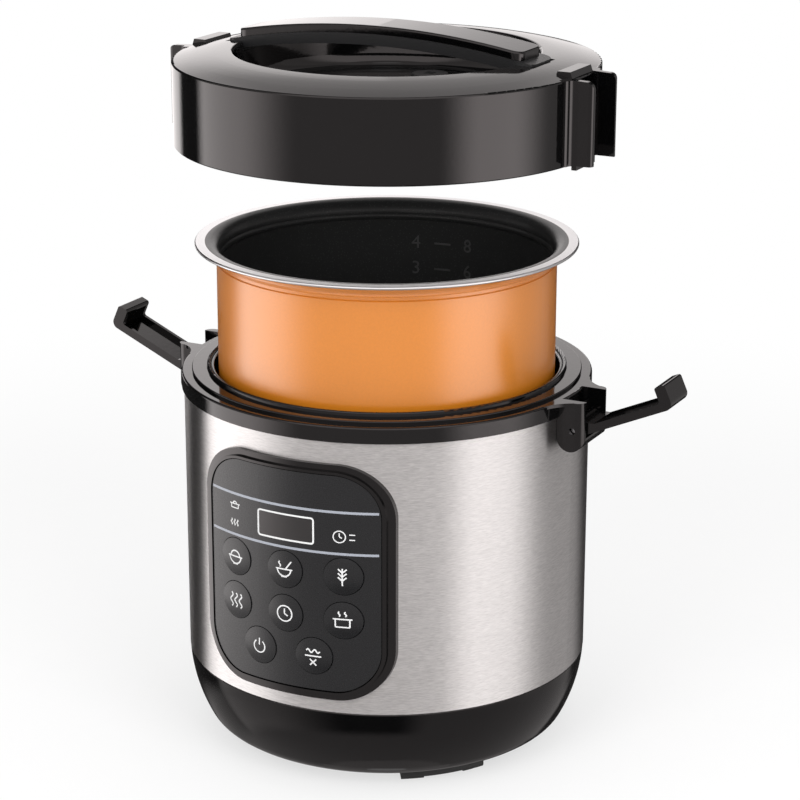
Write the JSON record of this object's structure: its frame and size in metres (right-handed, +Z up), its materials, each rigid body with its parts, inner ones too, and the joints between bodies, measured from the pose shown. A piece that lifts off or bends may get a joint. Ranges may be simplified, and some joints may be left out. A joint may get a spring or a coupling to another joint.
{
  "type": "rice cooker",
  "caption": "Round electric rice cooker: brushed steel casing with a wrapped button panel, lift-out cooking pot, lift-off lid with a bridge handle, and swinging side latches.",
  "frame": {"origin": "on the floor under the middle of the casing", "axes": "+Z up, -Y towards the control panel, +X towards the right-hand latch as seen from the front"},
  "size_m": [0.2932, 0.1969, 0.3394],
  "materials": {
    "gloss_black": "glossy black moulded plastic",
    "matt_black": "fine-grained black moulded plastic",
    "panel_satin": "dark grey satin panel with pale printed lines and marks",
    "button_satin": "dark satin button with a pale printed mark",
    "smoked_window": "smoked glossy window, unlit",
    "brushed_steel": "stainless sheet brushed round the casing",
    "pot_coating": "satin copper-coloured coating outside, speckled black non-stick inside, bare rim",
    "pressed_aluminium": "pressed sheet, satin",
    "cast_aluminium": "cast and turned",
    "zinc_steel": "zinc-plated steel",
    "pin_brass": "plated brass",
    "rubber_black": "moulded rubber",
    "seal_grey": "silicone rubber",
    "felt": "mineral felt",
    "board_green": "laminated circuit board",
    "board_parts": "moulded electronic parts"
  },
  "bodies": {
    "body": {"base_shell": "gloss_black", "feet": "rubber_black", "base_screws": "zinc_steel", "steel_band": "brushed_steel", "top_ring": "gloss_black", "inner_liner": "pressed_aluminium", "heat_shield": "pressed_aluminium", "insulation_wrap": "felt", "heating_plate": "cast_aluminium", "heating_element": "zinc_steel", "sensor_bracket": "zinc_steel", "sensor_spring": "zinc_steel", "thermal_fuse": "board_parts", "power_board": "board_green", "power_components": "board_parts", "panel_bezel": "gloss_black", "panel_face": "panel_satin", "display_window": "smoked_window", "display_module": "board_parts", "control_board": "board_green", "key_switches": "board_parts", "power_inlet": "matt_black", "inlet_pins": "pin_brass", "latch_pin_left": "zinc_steel", "latch_pin_right": "zinc_steel"},
    "pot": {"inner_pot": "pot_coating"},
    "lid": {"lid_shell": "gloss_black", "handle_grip": "matt_black", "handle_cap": "gloss_black", "handle_screws": "zinc_steel", "steam_vent": "matt_black", "inner_cover": "pressed_aluminium", "lid_gasket": "seal_grey", "cover_knob": "matt_black"},
    "sensor": {"thermo_sensor": "cast_aluminium"},
    "latch_left": {"latch_left": "gloss_black"},
    "latch_right": {"latch_right": "gloss_black"},
    "button_1": {"button_1": "button_satin"},
    "button_2": {"button_2": "button_satin"},
    "button_3": {"button_3": "button_satin"},
    "button_4": {"button_4": "button_satin"},
    "button_5": {"button_5": "button_satin"},
    "button_6": {"button_6": "button_satin"},
    "button_7": {"button_7": "button_satin"},
    "button_8": {"button_8": "button_satin"}
  },
  "joints": [
    {"name": "pot_lift", "type": "slide", "parent": "body", "child": "pot", "axis": [0, 0, 1], "range_m": [-0.0564, 0.028]},
    {"name": "lid_lift", "type": "slide", "parent": "pot", "child": "lid", "axis": [0, 0, 1], "range_m": [-0.0506, 0.01]},
    {"name": "latch_right_swing", "type": "hinge", "parent": "body", "child": "latch_right", "pos_m": [0.1015, 0, 0.1645], "axis": [0, 1, 0], "range_deg": [-66, 0]},
    {"name": "latch_left_swing", "type": "hinge", "parent": "body", "child": "latch_left", "pos_m": [-0.1015, 0, 0.1645], "axis": [0, -1, 0], "range_deg": [-66, 0]},
    {"name": "sensor_press", "type": "slide", "parent": "body", "child": "sensor", "axis": [0, 0, 1], "range_m": [-0.003, 0], "stiffness_N_per_m": 1500, "springref_m": 0.001, "deforming": ["sensor_spring"]},
    {"name": "button_1_press", "type": "slide", "parent": "body", "child": "button_1", "axis": [0, 1, 0], "range_m": [0, 0.0007], "stiffness_N_per_m": 800},
    {"name": "button_2_press", "type": "slide", "parent": "body", "child": "button_2", "axis": [0, 1, 0], "range_m": [0, 0.0007], "stiffness_N_per_m": 800},
    {"name": "button_3_press", "type": "slide", "parent": "body", "child": "button_3", "axis": [0, 1, 0], "range_m": [0, 0.0007], "stiffness_N_per_m": 800},
    {"name": "button_4_press", "type": "slide", "parent": "body", "child": "button_4", "axis": [0, 1, 0], "range_m": [0, 0.0007], "stiffness_N_per_m": 800},
    {"name": "button_5_press", "type": "slide", "parent": "body", "child": "button_5", "axis": [0, 1, 0], "range_m": [0, 0.0007], "stiffness_N_per_m": 800},
    {"name": "button_6_press", "type": "slide", "parent": "body", "child": "button_6", "axis": [0, 1, 0], "range_m": [0, 0.0007], "stiffness_N_per_m": 800},
    {"name": "button_7_press", "type": "slide", "parent": "body", "child": "button_7", "axis": [0, 1, 0], "range_m": [0, 0.0007], "stiffness_N_per_m": 800},
    {"name": "button_8_press", "type": "slide", "parent": "body", "child": "button_8", "axis": [0, 1, 0], "range_m": [0, 0.0007], "stiffness_N_per_m": 800}
  ]
}
